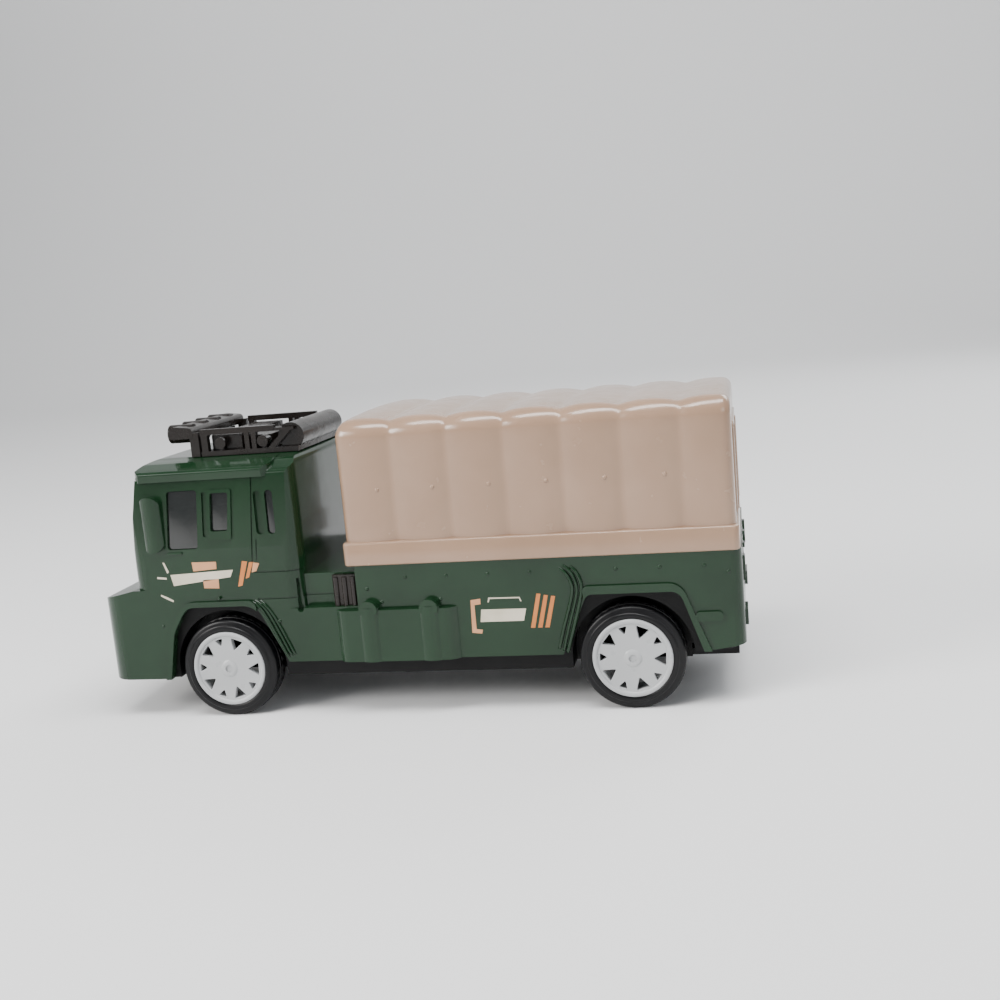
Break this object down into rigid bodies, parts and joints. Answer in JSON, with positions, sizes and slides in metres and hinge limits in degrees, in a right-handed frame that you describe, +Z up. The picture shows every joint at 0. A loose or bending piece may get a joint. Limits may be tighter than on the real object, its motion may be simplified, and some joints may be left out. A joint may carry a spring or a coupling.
{
  "type": "toy military cargo truck",
  "caption": "Small moulded toy army lorry: green cab and bed, tan hooped load cover, roof rack and two free-rolling wheel sets.",
  "frame": {"origin": "on the ground under the middle of the truck's length and width", "axes": "+X forward towards the cab, +Y to the truck's left, +Z up"},
  "size_m": [0.1698, 0.06, 0.0763],
  "materials": {
    "green_plastic": "glossy moulded dark bottle green",
    "tan_plastic": "glossy moulded tan",
    "black_plastic": "semi-gloss moulded black",
    "white_plastic": "satin moulded white",
    "tyre": "satin moulded black",
    "steel": "bright plated rod and screws"
  },
  "bodies": {
    "root": {"body_shell": "green_plastic", "chassis_tray": "black_plastic", "load_cover": "tan_plastic", "roof_rack": "black_plastic", "roof_lamp_bar": "black_plastic", "air_cleaner": "black_plastic", "tray_screws": "steel"},
    "front_wheels": {"front_axle": "steel", "front_left_hub": "white_plastic", "front_right_hub": "white_plastic", "front_left_tyre": "tyre", "front_right_tyre": "tyre"},
    "rear_wheels": {"rear_axle": "steel", "rear_left_hub": "white_plastic", "rear_right_hub": "white_plastic", "rear_left_tyre": "tyre", "rear_right_tyre": "tyre"}
  },
  "joints": [
    {"name": "front_axle_spin", "type": "hinge", "parent": "root", "child": "front_wheels", "pos_m": [0.049, 0, 0.013], "axis": [0, 1, 0], "continuous": true},
    {"name": "rear_axle_spin", "type": "hinge", "parent": "root", "child": "rear_wheels", "pos_m": [-0.0567, 0, 0.013], "axis": [0, 1, 0], "continuous": true}
  ]
}
